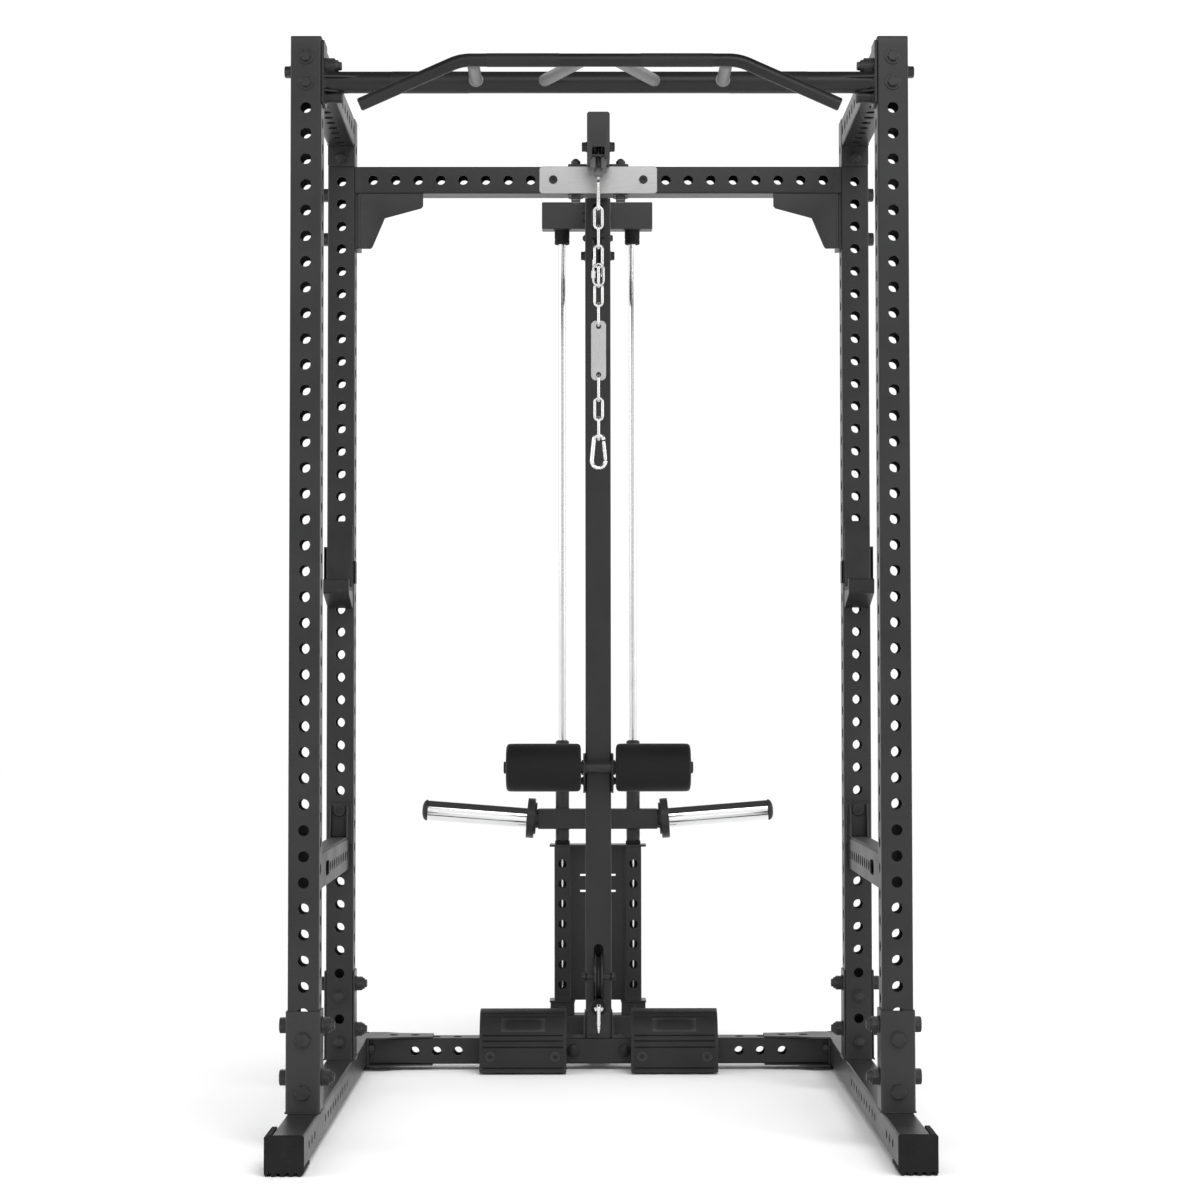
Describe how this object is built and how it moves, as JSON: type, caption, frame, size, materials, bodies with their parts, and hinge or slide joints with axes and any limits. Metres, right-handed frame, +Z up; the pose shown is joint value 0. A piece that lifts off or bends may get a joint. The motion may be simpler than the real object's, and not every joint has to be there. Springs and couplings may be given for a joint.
{
  "type": "power cage",
  "caption": "Square-tube strength cage with perforated uprights, bar holders, safety beams, multi-grip pull-up bar and a plate-loaded lat pulldown and low row tower behind.",
  "frame": {"origin": "centre of the footprint's bounding box, on the floor", "axes": "+Z up; -Y is the open front that the user steps in from, +Y is the lat tower's side; +X is the user's right when standing inside and facing the tower"},
  "size_m": [1.2366, 1.845, 2.154],
  "materials": {
    "powder_coat": "fine-textured dark charcoal powder coat",
    "rubber": "matt moulded rubber",
    "plastic": "matt moulded plastic",
    "foam": "matt closed-cell foam skin",
    "chrome": "bright chrome plate",
    "brushed": "brushed steel sheet",
    "zinc": "bright zinc-plated steel",
    "nylon": "smooth black nylon",
    "cable_coat": "black nylon cable sheath"
  },
  "bodies": {
    "frame": {"base_beam_left": "powder_coat", "base_beam_right": "powder_coat", "base_bracket_front_left": "powder_coat", "base_bracket_front_right": "powder_coat", "base_bracket_rear_left": "powder_coat", "base_bracket_rear_right": "powder_coat", "upright_front_left": "powder_coat", "upright_front_right": "powder_coat", "upright_rear_left": "powder_coat", "upright_rear_right": "powder_coat", "top_side_beam_left": "powder_coat", "top_side_beam_right": "powder_coat", "corner_gusset_left": "powder_coat", "corner_gusset_right": "powder_coat", "rear_top_crossbeam": "powder_coat", "lower_crossbeam": "powder_coat", "pull_up_bar": "powder_coat", "column": "powder_coat", "top_arm": "powder_coat", "weight_stand": "powder_coat", "stand_base": "powder_coat", "roller_bracket": "powder_coat", "roller_axle": "powder_coat", "foot_cap_front_left": "rubber", "foot_cap_front_right": "rubber", "foot_cap_rear_left": "rubber", "foot_cap_rear_right": "rubber", "rod_bush_left": "rubber", "rod_bush_right": "rubber", "row_ball": "rubber", "foot_plate_left": "plastic", "foot_plate_right": "plastic", "guide_rod_left": "chrome", "guide_rod_right": "chrome", "nameplate": "brushed", "lat_cable": "cable_coat", "row_cable": "cable_coat"},
    "carriage": {"carriage_frame": "powder_coat", "loading_sleeve_left": "chrome", "loading_sleeve_right": "chrome", "sleeve_cap_left": "plastic", "sleeve_cap_right": "plastic"},
    "lat_end": {"cable_ball": "zinc"},
    "chain": {"lat_chain": "zinc", "lat_carabiner": "chrome"},
    "lat_gate": {"lat_gate": "chrome"},
    "front_top_pulley": {"front_top_pulley": "nylon"},
    "rear_top_pulley": {"rear_top_pulley": "nylon"},
    "column_pulley": {"column_pulley": "nylon"},
    "row_rear_pulley": {"row_rear_pulley": "nylon"},
    "low_pulley": {"low_pulley": "nylon"},
    "roller_left": {"foam_roller_left": "foam"},
    "roller_right": {"foam_roller_right": "foam"},
    "jcup_left": {"jcup_left": "powder_coat", "jcup_pad_left": "plastic"},
    "jcup_right": {"jcup_right": "powder_coat", "jcup_pad_right": "plastic"},
    "spotter_left": {"spotter_left": "powder_coat"},
    "spotter_right": {"spotter_right": "powder_coat"},
    "row_hook": {"row_hook": "chrome"}
  },
  "joints": [
    {"name": "carriage_slide", "type": "slide", "parent": "frame", "child": "carriage", "axis": [0, 0, 1], "range_m": [0, 1.2], "deforming": ["lat_cable", "row_cable"]},
    {"name": "lat_pull", "type": "slide", "parent": "frame", "child": "lat_end", "axis": [0, 0, -1], "range_m": [0, 1.2]},
    {"name": "chain_swing", "type": "hinge", "parent": "lat_end", "child": "chain", "pos_m": [0, -0.0275, 2.014], "axis": [1, 0, 0], "range_deg": [-25, 25]},
    {"name": "gate_hinge", "type": "hinge", "parent": "chain", "child": "lat_gate", "pos_m": [0.0107, -0.0275, 1.4275], "axis": [0, 1, 0], "range_deg": [0, 25], "stiffness_Nm_per_rad": 0.02, "springref_deg": -11.46},
    {"name": "front_pulley_turn", "type": "hinge", "parent": "frame", "child": "front_top_pulley", "pos_m": [0, 0.0125, 2.083], "axis": [1, 0, 0], "range_deg": [0, 1720]},
    {"name": "rear_pulley_turn", "type": "hinge", "parent": "frame", "child": "rear_top_pulley", "pos_m": [0, 0.8325, 2.083], "axis": [1, 0, 0], "range_deg": [0, 1720]},
    {"name": "column_pulley_turn", "type": "hinge", "parent": "frame", "child": "column_pulley", "pos_m": [0, 0.4625, 1.918], "axis": [1, 0, 0], "continuous": true},
    {"name": "row_rear_pulley_turn", "type": "hinge", "parent": "frame", "child": "row_rear_pulley", "pos_m": [0, 0.8155, 1.918], "axis": [1, 0, 0], "continuous": true},
    {"name": "low_pulley_turn", "type": "hinge", "parent": "frame", "child": "low_pulley", "pos_m": [0, 0.4175, 0.216], "axis": [1, 0, 0], "continuous": true},
    {"name": "roller_left_turn", "type": "hinge", "parent": "frame", "child": "roller_left", "pos_m": [0, 0.3845, 0.705], "axis": [1, 0, 0], "continuous": true},
    {"name": "roller_right_turn", "type": "hinge", "parent": "frame", "child": "roller_right", "pos_m": [0, 0.3845, 0.705], "axis": [1, 0, 0], "continuous": true},
    {"name": "jcup_left_pull", "type": "slide", "parent": "frame", "child": "jcup_left", "axis": [0, -1, 0], "range_m": [0, 0.06]},
    {"name": "jcup_right_pull", "type": "slide", "parent": "frame", "child": "jcup_right", "axis": [0, -1, 0], "range_m": [0, 0.06]},
    {"name": "spotter_left_lift", "type": "slide", "parent": "frame", "child": "spotter_left", "axis": [0, 0, 1], "range_m": [0, 0.03]},
    {"name": "spotter_right_lift", "type": "slide", "parent": "frame", "child": "spotter_right", "axis": [0, 0, 1], "range_m": [0, 0.03]},
    {"name": "row_hook_swing", "type": "hinge", "parent": "frame", "child": "row_hook", "pos_m": [0, 0.3275, 0.152], "axis": [1, 0, 0], "range_deg": [-60, 0]}
  ],
  "couplings": [
    {"joint": "lat_pull", "follows": "carriage_slide", "ratio": 1},
    {"joint": "front_pulley_turn", "follows": "carriage_slide", "rad_per_m": 25},
    {"joint": "rear_pulley_turn", "follows": "carriage_slide", "rad_per_m": 25}
  ]
}
